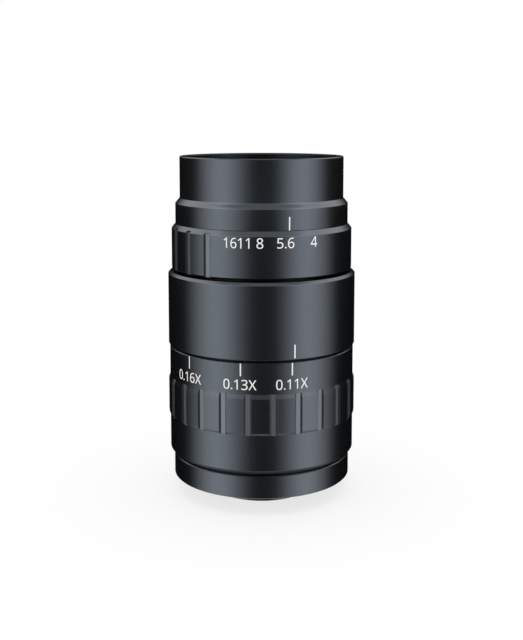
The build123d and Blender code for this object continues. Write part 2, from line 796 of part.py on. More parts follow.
def glass(top, top_bend, bottom, bottom_bend, radius, top_reach=None, bottom_reach=None):
    """Half section of an element: two spherical faces, flat outside their reach."""
    top_reach = top_reach or radius
    bottom_reach = bottom_reach or radius
    top_edge = face_height(top, top_bend, top_reach)
    bottom_edge = face_height(bottom, bottom_bend, bottom_reach)
    top_middle = (top_reach / 2, face_height(top, top_bend, top_reach / 2))
    bottom_middle = (bottom_reach / 2, face_height(bottom, bottom_bend, bottom_reach / 2))
    rim = [(top_reach, top_edge), (radius, top_edge), (radius, bottom_edge), (bottom_reach, bottom_edge)]
    rim = [corner for i, corner in enumerate(rim) if corner not in rim[:i]]
    with BuildSketch(Plane.XZ) as half:
        with BuildLine():
            Line((0, bottom), (0, top))
            ThreePointArc((0, top), top_middle, (top_reach, top_edge))
            Polyline(*rim)
            ThreePointArc((bottom_reach, bottom_edge), bottom_middle, (0, bottom))
        make_face()
    return half.sketch


# Front group, upwards from the iris
front_cell_foot_z = iris_top_z
front_ledge_z = front_cell_foot_z + cell_ledge
front_flint_foot_z = face_height(front_ledge_z, -inner_bend, front_dish_radius)
front_cement_z = front_flint_foot_z + flint_thickness
front_crown_top_z = front_cement_z + crown_thickness
front_glass_foot_z = front_crown_top_z + air_gap
front_glass_top_z = front_glass_foot_z + front_glass_thickness
front_bore_step_z = face_height(front_glass_foot_z, front_glass_bends[1], front_glass_radius)
front_glass_edge_z = face_height(front_glass_top_z, front_glass_bends[0], front_glass_radius)

with BuildPart() as front_doublet_flint:
    revolve(glass(front_cement_z, cement_bend, front_flint_foot_z, inner_bend,
                  front_doublet_radius, bottom_reach=front_dish_radius), axis=Axis.Z)
finish(front_doublet_flint, "front_doublet_flint")

with BuildPart() as front_doublet_crown:
    revolve(glass(front_crown_top_z, outer_bend, front_cement_z, cement_bend,
                  front_doublet_radius), axis=Axis.Z)
finish(front_doublet_crown, "front_doublet_crown")

with BuildPart() as front_element:
    revolve(glass(front_glass_top_z, front_glass_bends[0], front_glass_foot_z, front_glass_bends[1],
                  front_glass_radius), axis=Axis.Z)
finish(front_element, "front_element")

# Spacer between the front element and the front doublet
front_spacer_inner = front_doublet_radius - spacer_width
with BuildPart() as front_spacer:
    spacer_foot = face_height(front_crown_top_z, outer_bend, front_spacer_inner) + seat
    spacer_top = face_height(front_glass_foot_z, front_glass_bends[1], front_doublet_radius) - seat
    with BuildSketch(Plane.XY.offset(spacer_foot)):
        Circle(front_doublet_radius)
        Circle(front_spacer_inner, mode=Mode.SUBTRACT)
    extrude(amount=spacer_top - spacer_foot)
finish(front_spacer, "front_spacer")

# Front retaining ring, bevelled towards the glass, with two spanner notches
front_retainer_inner = front_glass_radius - retainer_overlap
front_retainer_z = face_height(front_glass_top_z, front_glass_bends[0], front_retainer_inner) + seat
front_retainer_top_z = front_retainer_z + retainer_height
with BuildPart() as front_retaining_ring:
    revolve(section(
        (front_retainer_inner, front_retainer_z),
        (front_retainer_outer, front_retainer_z),
        (front_retainer_outer, front_retainer_top_z),
        (front_retainer_outer - retainer_thread, front_retainer_top_z),
        (front_retainer_inner, front_retainer_z + retainer_height / 2),
    ), axis=Axis.Z)
    with BuildSketch(Plane.XY.offset(front_retainer_top_z)):
        Rectangle(2 * front_retainer_outer, retainer_height / 2)
    extrude(amount=-retainer_height / 4, mode=Mode.SUBTRACT)
finish(front_retaining_ring, "front_retaining_ring")

# Front cell: drops into the head sleeve and is clamped at its flange by the front barrel
cell_flange_radius = thread_neck_radius - 2 * edge_break
cell_nose_radius = front_retainer_outer + cell_nose_wall
front_cell_top_z = front_retainer_top_z + cell_lip
with BuildPart() as front_cell:
    revolve(section(
        (front_dish_radius + ledge_cover, front_cell_foot_z),
        (cell_bore - seat, front_cell_foot_z),
        (cell_bore - seat, head_top_z),
        (cell_flange_radius, head_top_z),
        (cell_flange_radius, head_top_z + cell_flange_height),
        (cell_nose_radius, head_top_z + cell_flange_height),
        (cell_nose_radius, front_cell_top_z - edge_break),
        (cell_nose_radius - edge_break, front_cell_top_z),
        (front_retainer_outer + seat, front_cell_top_z),
        (front_retainer_outer + seat, front_glass_edge_z),
        (front_glass_radius + seat, front_glass_edge_z),
        (front_glass_radius + seat, front_bore_step_z),
        (front_doublet_radius + seat, front_bore_step_z),
        (front_doublet_radius + seat, front_ledge_z),
        (front_dish_radius + ledge_cover, front_ledge_z),
    ), axis=Axis.Z)
finish(front_cell, "front_cell")

# Rear group, downwards from the iris
rear_nose_top_z = iris_foot_z - edge_break
rear_ledge_z = rear_nose_top_z - cell_ledge
rear_flint_top_z = face_height(rear_ledge_z, inner_bend, rear_dish_radius)
rear_cement_z = rear_flint_top_z - flint_thickness
rear_crown_foot_z = rear_cement_z - crown_thickness
rear_glass_top_z = rear_crown_foot_z - air_gap
rear_glass_foot_z = rear_glass_top_z - rear_glass_thickness
rear_bore_step_z = face_height(rear_glass_top_z, rear_glass_bends[0], rear_doublet_radius) + seat
rear_glass_edge_z = face_height(rear_glass_foot_z, rear_glass_bends[1], rear_glass_radius)

with BuildPart() as rear_doublet_flint:
    revolve(glass(rear_flint_top_z, -inner_bend, rear_cement_z, -cement_bend,
                  rear_doublet_radius, top_reach=rear_dish_radius), axis=Axis.Z)
finish(rear_doublet_flint, "rear_doublet_flint")

with BuildPart() as rear_doublet_crown:
    revolve(glass(rear_cement_z, -cement_bend, rear_crown_foot_z, -outer_bend,
                  rear_doublet_radius), axis=Axis.Z)
finish(rear_doublet_crown, "rear_doublet_crown")

with BuildPart() as rear_element:
    revolve(glass(rear_glass_top_z, rear_glass_bends[0], rear_glass_foot_z, rear_glass_bends[1],
                  rear_glass_radius), axis=Axis.Z)
finish(rear_element, "rear_element")

# Spacer between the rear doublet and the rear element
rear_spacer_inner = rear_doublet_radius - spacer_width
with BuildPart() as rear_spacer:
    spacer_foot = face_height(rear_glass_top_z, rear_glass_bends[0], rear_spacer_inner) + seat
    spacer_top = face_height(rear_crown_foot_z, -outer_bend, rear_spacer_inner) - seat
    with BuildSketch(Plane.XY.offset(spacer_foot)):
        Circle(rear_doublet_radius)
        Circle(rear_spacer_inner, mode=Mode.SUBTRACT)
    extrude(amount=spacer_top - spacer_foot)
finish(rear_spacer, "rear_spacer")

# Rear retaining ring, with two spanner notches
rear_retainer_inner = rear_glass_radius - retainer_overlap
rear_retainer_top_z = face_height(rear_glass_foot_z, rear_glass_bends[1], rear_retainer_inner) - seat
rear_retainer_foot_z = rear_retainer_top_z - retainer_height
with BuildPart() as rear_retaining_ring:
    revolve(section(
        (rear_retainer_inner, rear_retainer_top_z),
        (rear_retainer_outer, rear_retainer_top_z),
        (rear_retainer_outer, rear_retainer_foot_z),
        (rear_retainer_outer - retainer_thread, rear_retainer_foot_z),
        (rear_retainer_inner, rear_retainer_foot_z + retainer_height / 2),
    ), axis=Axis.Z)
    with BuildSketch(Plane.XY.offset(rear_retainer_foot_z)):
        Rectangle(2 * rear_retainer_outer, retainer_height / 2)
    extrude(amount=retainer_height / 4, mode=Mode.SUBTRACT)
finish(rear_retaining_ring, "rear_retaining_ring")

# Rear cell: screwed up into the head sleeve against its ledge
rear_cell_foot_z = rear_retainer_foot_z - cell_lip
with BuildPart() as rear_cell:
    revolve(section(
        (rear_dish_radius + ledge_cover, rear_nose_top_z),
        (head_bore - ledge_width - seat, rear_nose_top_z),
        (head_bore - ledge_width - seat, ledge_foot_z),
        (head_bore - seat, ledge_foot_z),
        (head_bore - seat, rear_cell_foot_z),
        (rear_retainer_outer + seat, rear_cell_foot_z),
        (rear_retainer_outer + seat, rear_glass_edge_z),
        (rear_glass_radius + seat, rear_glass_edge_z),
        (rear_glass_radius + seat, rear_bore_step_z),
        (rear_doublet_radius + seat, rear_bore_step_z),
        (rear_doublet_radius + seat, rear_ledge_z),
        (rear_dish_radius + ledge_cover, rear_ledge_z),
    ), axis=Axis.Z)
finish(rear_cell, "rear_cell")

# Front barrel: index band, bevel and front tube turned in one piece, bored for a filter thread
filter_bore = filter_thread_major_radius - thread_bore_pitches * filter_thread_pitch
front_cavity_radius = cell_nose_radius + cell_nose_gap
filter_foot_z = rim_z - filter_thread_depth
clamp_z = head_top_z + cell_flange_height
with BuildPart() as front_barrel:
    revolve(section(
        (thread_neck_radius + seat, band_foot_z),
        (index_band_radius, band_foot_z),
        (index_band_radius, band_top_z),
        (tube_radius, tube_foot_z),
        (tube_radius, rim_z - edge_break),
        (tube_radius - edge_break, rim_z),
        (filter_bore + filter_thread_pitch / 2, rim_z),
        (filter_bore, rim_z - filter_thread_pitch / 2),
        (filter_bore, filter_foot_z),
        (filter_thread_major_radius, filter_foot_z),
        (filter_thread_major_radius, filter_foot_z - filter_thread_pitch),
        (front_cavity_radius, clamp_z + 2 * filter_thread_pitch),
        (front_cavity_radius, clamp_z),
        (thread_neck_radius + seat, clamp_z),
    ), axis=Axis.Z)
    bevel_edges = turned_edges(
        front_barrel.part,
        (index_band_radius, band_top_z),
        (tube_radius, tube_foot_z),
    )
    fillet(bevel_edges, radius=bevel_edge_radius)
finish(front_barrel, "front_barrel")
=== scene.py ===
# %% [markdown]
# A macro lens for a machine camera stands on its camera thread, front glass up. Its barrels and
# rings are turned from aluminium, blasted fine and anodised black, and its scales are engraved
# and filled with white paint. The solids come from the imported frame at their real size. This
# lesson gives each of them its finish, cuts the fine threads and writes the scales.

# %% Load the frame
import math

import bpy
from mathutils import Matrix, Vector


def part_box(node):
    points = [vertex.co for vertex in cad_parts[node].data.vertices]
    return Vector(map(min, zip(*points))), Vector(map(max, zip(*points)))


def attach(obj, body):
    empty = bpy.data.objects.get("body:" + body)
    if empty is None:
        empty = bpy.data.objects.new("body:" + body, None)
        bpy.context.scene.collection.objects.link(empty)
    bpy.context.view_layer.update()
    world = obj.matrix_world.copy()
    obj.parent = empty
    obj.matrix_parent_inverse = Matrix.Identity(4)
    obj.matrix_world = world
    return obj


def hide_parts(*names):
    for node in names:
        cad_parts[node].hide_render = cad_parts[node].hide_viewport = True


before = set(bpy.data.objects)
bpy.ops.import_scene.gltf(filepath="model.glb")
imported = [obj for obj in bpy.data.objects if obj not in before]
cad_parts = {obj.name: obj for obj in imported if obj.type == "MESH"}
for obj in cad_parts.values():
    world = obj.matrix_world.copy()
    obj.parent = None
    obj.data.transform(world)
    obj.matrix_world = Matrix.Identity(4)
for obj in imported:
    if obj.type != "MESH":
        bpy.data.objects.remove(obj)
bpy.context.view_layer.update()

MM = 0.001

# %% [markdown]
# The photograph is taken from a little above the rim, with the lens axis upright, so that the
# barrels' edges bow downwards more and more towards the floor and the rim shows as a thin
# ellipse. The camera could be level with a large shift, as a view camera is, but then every
# other view would be cut off. A gentle pitch with a small shift keeps both right.

# %% Set the camera
CAMERA_DISTANCE = 254.4 * MM
CAMERA_HEIGHT = 92.7 * MM
CAMERA_PITCH = math.radians(6.31)
CAMERA_FOCAL = 58.24
CAMERA_SHIFT_UP = -0.14
PHOTO_WIDTH, PHOTO_HEIGHT = 523, 640
AXIS_COLUMN = 261.5

camera_data = bpy.data.cameras.new("camera")
camera = bpy.data.objects.new("camera", camera_data)
bpy.context.scene.collection.objects.link(camera)
camera.location = (0, -CAMERA_DISTANCE, CAMERA_HEIGHT)
camera.rotation_euler = (math.pi / 2 - CAMERA_PITCH, 0, 0)
camera_data.lens = CAMERA_FOCAL
camera_data.sensor_width = 36
camera_data.shift_y = CAMERA_SHIFT_UP
camera_data.shift_x = (PHOTO_WIDTH / 2 - AXIS_COLUMN) / PHOTO_HEIGHT
camera_data.clip_start = 10 * MM
camera_data.clip_end = 50
bpy.context.scene.camera = camera
print("camera: %.1f mm away, %.1f mm up" % (CAMERA_DISTANCE / MM, CAMERA_HEIGHT / MM))

# %% [markdown]
# Every material here is a tree of nodes, and a tree is easier to read when each node is one
# short line. These helpers add a node with its settings, fill its inputs by name, and join it to
# the node before it.

# %% Helpers for node trees
def add_node(tree, kind, inputs=None, **settings):
    made = tree.nodes.new(kind)
    for name, value in settings.items():
        setattr(made, name, value)
    for name, value in (inputs or {}).items():
        if isinstance(value, bpy.types.NodeSocket):
            tree.links.new(value, made.inputs[name])
        else:
            made.inputs[name].default_value = value
    return made


def do_math(tree, operation, first, second=None, third=None, clamp=False):
    values = {i: v for i, v in enumerate((first, second, third)) if v is not None}
    made = add_node(tree, "ShaderNodeMath", values, operation=operation, use_clamp=clamp)
    return made.outputs[0]


def map_range(tree, value, low, high, to_low=0.0, to_high=1.0, smooth=True):
    kind = "SMOOTHSTEP" if smooth else "LINEAR"
    inputs = {0: value, 1: low, 2: high, 3: to_low, 4: to_high}
    return add_node(tree, "ShaderNodeMapRange", inputs, interpolation_type=kind).outputs[0]


def new_material(name):
    material = bpy.data.materials.new(name)
    material.use_nodes = True
    material.node_tree.nodes.clear()
    return material, material.node_tree


def finish_material(tree, shader):
    add_node(tree, "ShaderNodeOutputMaterial", {"Surface": shader})


# %% [markdown]
# The background is white, as on a product page. A white world of strength 1 is what the camera,
# mirrors and glass see. Only the soft light that it gives to matt surfaces is a little lower, so
# that white paint is not burnt out.

# %% Light the world
WORLD_LEVEL = 0.85

world = bpy.data.worlds.new("studio")
bpy.context.scene.world = world
world.use_nodes = True
tree = world.node_tree
tree.nodes.clear()
path = add_node(tree, "ShaderNodeLightPath")
seen = do_math(tree, "MAXIMUM", path.outputs["Is Camera Ray"], path.outputs["Is Glossy Ray"])
seen = do_math(tree, "MAXIMUM", seen, path.outputs["Is Transmission Ray"])
level = map_range(tree, seen, 0.0, 1.0, WORLD_LEVEL, 1.0, smooth=False)
white = add_node(tree, "ShaderNodeBackground", {"Color": (1, 1, 1, 1), "Strength": level})
add_node(tree, "ShaderNodeOutputWorld", {"Surface": white.outputs[0]})

bpy.context.scene.view_settings.view_transform = "Standard"
print("world: matt surfaces get", WORLD_LEVEL)

# %% [markdown]
# The lens stands on a pale table that runs out into the white background. Modelled as one large
# disc, its own colour shows near the lens, with the lens's soft shadow, and further out it turns
# to the white of the background by distance. Its underside lets the camera through, so that the
# lens can be looked at from below.

# %% Lay the floor
FLOOR_RADIUS = 3.0
FLOOR_FADE = (0.02, 0.16)
FLOOR_WHITE = 0.75

bpy.ops.object.select_all(action="DESELECT")
bpy.ops.mesh.primitive_circle_add(
    vertices=96, radius=FLOOR_RADIUS, fill_type="NGON", location=(0, 0, -0.05 * MM)
)
floor = bpy.context.object
floor.name = "floor"
material, tree = new_material("pale_table")
place = add_node(tree, "ShaderNodeTexCoord")
far = add_node(tree, "ShaderNodeVectorMath", {0: place.outputs["Object"]}, operation="LENGTH")
fade = map_range(tree, far.outputs["Value"], *FLOOR_FADE, FLOOR_WHITE, 1.0)
paint = add_node(tree, "ShaderNodeBsdfDiffuse", {"Color": (0.9, 0.9, 0.9, 1)})
glow = add_node(tree, "ShaderNodeEmission", {"Color": (1, 1, 1, 1), "Strength": 1.0})
clear = add_node(tree, "ShaderNodeBsdfTransparent")
path = add_node(tree, "ShaderNodeLightPath")
side = add_node(tree, "ShaderNodeNewGeometry")
camera_fade = do_math(tree, "MULTIPLY", fade, path.outputs["Is Camera Ray"])
top = add_node(tree, "ShaderNodeMixShader", {0: camera_fade, 1: paint.outputs[0], 2: glow.outputs[0]})
below = do_math(tree, "MULTIPLY", side.outputs["Backfacing"], path.outputs["Is Camera Ray"])
both = add_node(tree, "ShaderNodeMixShader", {0: below, 1: top.outputs[0], 2: clear.outputs[0]})
finish_material(tree, both.outputs[0])
floor.data.materials.append(material)
floor.visible_glossy = False
print("floor: %.1f m wide" % (2 * FLOOR_RADIUS))

# %% [markdown]
# Black metal shows little of its own: what is seen on it are the lights that it mirrors. The
# photograph has one broad soft stripe on each side of every barrel, a dark middle and dark
# edges, and its bevels and edges catch a light from above. So the lens stood in a tent of dark
# cloth with two tall soft windows, left and right of the camera, and pale panels overhead. The
# tent here is a tall open cylinder. Its light is a smooth function of the angle round the lens
# and of the height, and only mirroring surfaces see it.

# %% Put up the tent
TENT_RADIUS = 450 * MM
TENT_LOW, TENT_HIGH = -420 * MM, 760 * MM
WINDOWS = ((-106.0, -55.0, -6.0), (106.0, 55.0, 12.0))
WINDOW_LIGHT = 2.7
FRONT_GLOW, FRONT_REACH = 0.09, 34.0
OVERHEAD = (130 * MM, 300 * MM)
OVERHEAD_FRONT, OVERHEAD_SIDES = 0.9, 2.3
SIDES_FROM, SIDES_TO = 20.0, 85.0
PANELS_FADE, PANELS_END = 110.0, 170.0
BACK_GLOW, BACK_FROM, BACK_TO = 0.12, 110.0, 150.0
CLOTH_GLOW = 0.003

bpy.ops.object.select_all(action="DESELECT")
bpy.ops.mesh.primitive_cylinder_add(
    vertices=128, radius=TENT_RADIUS, depth=TENT_HIGH - TENT_LOW,
    end_fill_type="NOTHING", location=(0, 0, (TENT_HIGH + TENT_LOW) / 2),
)
tent = bpy.context.object
tent.name = "light_tent"
bpy.ops.object.transform_apply(location=True, rotation=True, scale=True)
material, tree = new_material("tent_cloth")
place = add_node(tree, "ShaderNodeTexCoord")
axes = add_node(tree, "ShaderNodeSeparateXYZ", {0: place.outputs["Object"]})
towards_back = do_math(tree, "MULTIPLY", axes.outputs["Y"], -1.0)
degrees = do_math(tree, "DEGREES", do_math(tree, "ARCTAN2", axes.outputs["X"], towards_back))
off_front = do_math(tree, "ABSOLUTE", degrees)
front = map_range(tree, off_front, FRONT_REACH, 0.0, 0.0, FRONT_GLOW)
light = do_math(tree, "ADD", front, CLOTH_GLOW)
for outer, middle, inner in WINDOWS:
    rise = map_range(tree, degrees, outer, middle)
    fall = map_range(tree, degrees, inner, middle, 0.0, WINDOW_LIGHT)
    light = do_math(tree, "MULTIPLY_ADD", rise, fall, light)
above = map_range(tree, axes.outputs["Z"], *OVERHEAD)
panel = map_range(tree, off_front, SIDES_FROM, SIDES_TO, OVERHEAD_FRONT, OVERHEAD_SIDES)
panel = do_math(tree, "MULTIPLY", panel, map_range(tree, off_front, PANELS_END, PANELS_FADE))
back = map_range(tree, off_front, BACK_FROM, BACK_TO, 0.0, BACK_GLOW)
light = do_math(tree, "MULTIPLY_ADD", above, do_math(tree, "ADD", panel, back), light)
cloth = add_node(tree, "ShaderNodeEmission", {"Color": (1, 1, 1, 1), "Strength": light})
finish_material(tree, cloth.outputs[0])
tent.data.materials.append(material)
for ray in ("camera", "diffuse", "shadow", "transmission", "volume_scatter"):
    setattr(tent, "visible_" + ray, False)

CEILING_HEIGHT, CEILING_WIDTH, CEILING_POWER = 0.8, 0.7, 2.4
bpy.ops.object.light_add(type="AREA", location=(0, 0, CEILING_HEIGHT))
ceiling = bpy.context.object
ceiling.name = "ceiling_softbox"
ceiling.data.shape = "DISK"
ceiling.data.size = CEILING_WIDTH
ceiling.data.energy = CEILING_POWER
ceiling.visible_glossy = False
print("tent: windows at", [w[1] for w in WINDOWS], "degrees")

# %% [markdown]
# Anodised aluminium is never quite even. Under the dye lies the finely blasted skin, which
# scatters light a little, and handling leaves places that are slightly smoother. The flutes of
# the two rings are milled after the turning, so their floors are paler. Their sides are painted
# near black and rougher: painted shade for the dark corners of the grooves.
# Each effect is used by more than one finish, so it is a node group with named inputs and
# outputs, built once. The flutes could be found by their radius, but the plain metal beside them
# lies as deep, so the group measures how far each point is from the middle of a flute.

# %% Node groups for the skin
def new_group(name, inputs, outputs):
    group = bpy.data.node_groups.new(name, "ShaderNodeTree")
    for label, value in inputs.items():
        socket = group.interface.new_socket(label, in_out="INPUT", socket_type="NodeSocketFloat")
        socket.default_value = value
    for label in outputs:
        group.interface.new_socket(label, in_out="OUTPUT", socket_type="NodeSocketFloat")
    start = group.nodes.new("NodeGroupInput")
    end = group.nodes.new("NodeGroupOutput")
    return group, start, end


def object_place(tree):
    return add_node(tree, "ShaderNodeTexCoord").outputs["Object"]


def radius_of(tree, place):
    axes = add_node(tree, "ShaderNodeSeparateXYZ", {0: place})
    flat = add_node(tree, "ShaderNodeCombineXYZ", {0: axes.outputs["X"], 1: axes.outputs["Y"]})
    far = add_node(tree, "ShaderNodeVectorMath", {0: flat.outputs[0]}, operation="LENGTH")
    return far.outputs["Value"], axes.outputs["Z"]


blast, start, end = new_group("blasted_skin", {"Grains per mm": 9.0, "Unevenness": 0.5},
                              ["Height", "Patches"])
grain_scale = do_math(blast, "MULTIPLY", start.outputs["Grains per mm"], 1000.0)
place = object_place(blast)
grains = add_node(blast, "ShaderNodeTexNoise", {"Vector": place, "Scale": grain_scale, "Detail": 2.0})
patches = add_node(blast, "ShaderNodeTexNoise", {"Vector": place, "Scale": 70.0, "Detail": 4.0})
blast.links.new(grains.outputs["Fac"], end.inputs["Height"])
spread = do_math(blast, "SUBTRACT", patches.outputs["Fac"], 0.5)
spread = do_math(blast, "MULTIPLY", spread, start.outputs["Unevenness"])
blast.links.new(spread, end.inputs["Patches"])

lathe, start, end = new_group("lathe_lines", {"Lines per mm": 8.0}, ["Height"])
radius, up = radius_of(lathe, object_place(lathe))
along = do_math(lathe, "ADD", radius, up)
line_scale = do_math(lathe, "MULTIPLY", start.outputs["Lines per mm"], 1000.0)
lines = add_node(lathe, "ShaderNodeTexNoise", {"W": along, "Scale": line_scale, "Detail": 3.0},
                 noise_dimensions="1D")
lathe.links.new(lines.outputs["Fac"], end.inputs["Height"])

FLOOR_HALF = (0.50, 0.60)
SIDE_HALF = (0.90, 0.98)
NEAR_SKIN = 1.2

milled, start, end = new_group(
    "milled_flutes", {"First deg": 0.0, "Pitch deg": 15.0, "Count": 24.0, "Way": 1.0,
                      "Skin mm": 23.0, "Low mm": 0.0, "High mm": 10.0}, ["Floors", "Sides"])
place = object_place(milled)
radius, up = radius_of(milled, place)
axes = add_node(milled, "ShaderNodeSeparateXYZ", {0: place})
towards_back = do_math(milled, "MULTIPLY", axes.outputs["Y"], -1.0)
turn = do_math(milled, "ARCTAN2", axes.outputs["X"], towards_back)
turn = do_math(milled, "SUBTRACT", do_math(milled, "DEGREES", turn), start.outputs["First deg"])
turn = do_math(milled, "MULTIPLY", turn, start.outputs["Way"])
pitch = start.outputs["Pitch deg"]
turn = do_math(milled, "ADD", turn, do_math(milled, "MULTIPLY", pitch, 0.5))
turn = do_math(milled, "FLOORED_MODULO", turn, 360.0)
mask = do_math(milled, "LESS_THAN", turn, do_math(milled, "MULTIPLY", pitch, start.outputs["Count"]))
off = do_math(milled, "SUBTRACT", do_math(milled, "FLOORED_MODULO", turn, pitch),
              do_math(milled, "MULTIPLY", pitch, 0.5))
off = do_math(milled, "RADIANS", do_math(milled, "ABSOLUTE", off))
off = do_math(milled, "MULTIPLY", off, start.outputs["Skin mm"])
radius = do_math(milled, "MULTIPLY", radius, 1000.0)
up = do_math(milled, "MULTIPLY", up, 1000.0)
inner = do_math(milled, "SUBTRACT", start.outputs["Skin mm"], NEAR_SKIN)
near_skin = do_math(milled, "GREATER_THAN", radius, inner)
for part in (near_skin, do_math(milled, "GREATER_THAN", up, start.outputs["Low mm"]),
             do_math(milled, "LESS_THAN", up, start.outputs["High mm"])):
    mask = do_math(milled, "MULTIPLY", mask, part)
floors = do_math(milled, "MULTIPLY", mask, map_range(milled, off, FLOOR_HALF[1], FLOOR_HALF[0]))
# The sides mask marks where the painted shade of the groove corners goes.
sides = do_math(milled, "MULTIPLY", mask, map_range(milled, off, *FLOOR_HALF))
sides = do_math(milled, "MULTIPLY", sides, map_range(milled, off, SIDE_HALF[1], SIDE_HALF[0]))
milled.links.new(floors, end.inputs["Floors"])
milled.links.new(sides, end.inputs["Sides"])
print("groups:", [g.name for g in bpy.data.node_groups])

# %% [markdown]
# The finishes differ in colour, shine and texture, but all are the same kind of tree: patches
# vary the colour and the roughness, the grain and the lathe lines go through one bump node, and
# where a ring has flutes, their masks mix in the paler milled colour on their floors and painted
# shade on their sides. One function builds them from a few plain values.

# %% Build the metal finishes
def make_finish(name, colour, roughness, metallic=0.0, grain=9.0, grain_depth=0.002,
                lines=8.0, line_depth=0.0, patches=0.1, tint=(1, 1, 1, 1), ior=1.5, flutes=None):
    material, tree = new_material(name)
    skin = add_node(tree, "ShaderNodeGroup", {}, node_tree=blast)
    skin.inputs["Grains per mm"].default_value = grain
    skin.inputs["Unevenness"].default_value = patches
    turned = add_node(tree, "ShaderNodeGroup", {}, node_tree=lathe)
    turned.inputs["Lines per mm"].default_value = lines
    shade = do_math(tree, "ADD", skin.outputs["Patches"], 1.0)
    tinted = add_node(tree, "ShaderNodeVectorMath", {0: colour[:3], "Scale": shade}, operation="SCALE")
    colour_out = tinted.outputs[0]
    rough = do_math(tree, "MULTIPLY", shade, roughness)
    if flutes:
        pocket = add_node(tree, "ShaderNodeGroup", {}, node_tree=milled)
        for label, value in flutes.items():
            pocket.inputs[label].default_value = value
        # The floors take the paler milled colour, and the sides take the painted shade of the groove
        # corners.
        for mask, paint in (("Floors", MILLED_FLOOR), ("Sides", FLUTE_SIDE_SHADE)):
            mixed = add_node(tree, "ShaderNodeMix", {"Factor": pocket.outputs[mask], 6: colour_out,
                                                     7: paint}, data_type="RGBA")
            colour_out = mixed.outputs[2]
        rough = do_math(tree, "MULTIPLY_ADD", pocket.outputs["Sides"], 0.45, rough)
    grain_part = do_math(tree, "MULTIPLY", skin.outputs["Height"], grain_depth * MM)
    line_part = do_math(tree, "MULTIPLY", turned.outputs["Height"], line_depth * MM)
    height = do_math(tree, "ADD", grain_part, line_part)
    bump = add_node(tree, "ShaderNodeBump", {"Height": height, "Strength": 1.0, "Distance": 1.0})
    shader = add_node(tree, "ShaderNodeBsdfPrincipled", {
        "Base Color": colour_out, "Roughness": rough, "Metallic": metallic, "IOR": ior,
        "Specular Tint": tint, "Normal": bump.outputs[0]})
    finish_material(tree, shader.outputs[0])
    return material


ANODISED = (0.0042, 0.0045, 0.0048, 1)
ANODISED_LOOK = {"roughness": 0.25, "tint": (0.76, 0.87, 1.0, 1), "ior": 1.7, "line_depth": 0.0004}
MILLED_FLOOR = (0.080, 0.083, 0.090, 1)
# Painted shade: the flute sides are painted near black, standing in for the shade in the grooves'
# corners.
FLUTE_SIDE_SHADE = (0.002, 0.002, 0.002, 1)
finishes = {
    "black_anodised": make_finish("black_anodised", ANODISED, **ANODISED_LOOK),
    "matt_black": make_finish("matt_black", (0.008, 0.008, 0.009, 1), 0.6, grain_depth=0.01,
                              lines=2.5, line_depth=0.02),
    "inner_aluminium": make_finish("inner_aluminium", (0.014, 0.014, 0.016, 1), 0.3,
                                   lines=5.0, line_depth=0.004),
    "screw_steel": make_finish("screw_steel", (0.20, 0.20, 0.21, 1), 0.34, metallic=1.0,
                               lines=12.0, line_depth=0.002),
    "blade_steel": make_finish("blade_steel", (0.045, 0.047, 0.055, 1), 0.38, metallic=1.0,
                               lines=6.0, line_depth=0.001),
    "brass": make_finish("brass", (0.62, 0.43, 0.17, 1), 0.25, metallic=1.0,
                         lines=10.0, line_depth=0.002),
    "white_washer": make_finish("white_washer", (0.78, 0.78, 0.76, 1), 0.55, patches=0.05),
}
PAD_FLUTES = {"First deg": -8.05, "Pitch deg": 15.0, "Count": 24, "Way": 1.0, "Skin mm": 23.1,
              "Low mm": 19.4, "High mm": 29.2}
APERTURE_FLUTES = {"First deg": -34.8, "Pitch deg": 360 / 22, "Count": 14, "Way": -1.0,
                   "Skin mm": 22.15, "Low mm": 55.0, "High mm": 65.6}
ring_finish = make_finish("ring_anodised", ANODISED, flutes=PAD_FLUTES, **ANODISED_LOOK)
aperture_finish = make_finish("aperture_anodised", ANODISED, flutes=APERTURE_FLUTES, **ANODISED_LOOK)
print("finishes:", sorted(finishes))

# %% [markdown]
# The lens elements are optical glass with a thin coating that takes the glare away and leaves a
# coloured gleam. Glass keeps a plain transmission, and the coating is the colour of its
# reflection.

# %% Make the coated glass
def make_glass(name, gleam):
    material, tree = new_material(name)
    dust = add_node(tree, "ShaderNodeTexNoise", {"Vector": object_place(tree), "Scale": 900.0})
    rough = map_range(tree, dust.outputs["Fac"], 0.4, 0.9, 0.0, 0.03)
    shader = add_node(tree, "ShaderNodeBsdfPrincipled", {
        "Base Color": (0.93, 0.96, 0.97, 1), "Roughness": rough, "IOR": 1.6,
        "Transmission Weight": 1.0, "Specular Tint": gleam})
    finish_material(tree, shader.outputs[0])
    return material


finishes["coated_glass"] = make_glass("coated_glass", (0.11, 0.06, 0.22, 1))
green_coat = make_glass("green_coated_glass", (0.05, 0.16, 0.10, 1))

# %% Dress the nodes
for name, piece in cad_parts.items():
    slot_name = piece.data.materials[0].name.split(".")[0]
    finish = finishes.get(slot_name)
    if name == "magnification_ring":
        finish = ring_finish
    if name == "aperture_ring":
        finish = aperture_finish
    if name in ("front_doublet_crown", "rear_doublet_crown"):
        finish = green_coat
    piece.material_slots[0].material = finish
print("dressed:", len(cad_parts), "nodes")

# %% [markdown]
# The scales are engraved numbers and lines, filled flush with white paint. Cut into the metal
# they would need a boolean for each figure, which the render never shows. So each mark is a thin
# skin of paint: a flat text or strip, wrapped on its barrel with a shrinkwrap, thickened by
# solidify, and turned to its place on the scale.

# %% A helper that wraps a mark onto its barrel
PAINT_LIFT = 0.03 * MM
PAINT_THICKNESS = 0.015 * MM
LINE_WIDTH = 0.3 * MM


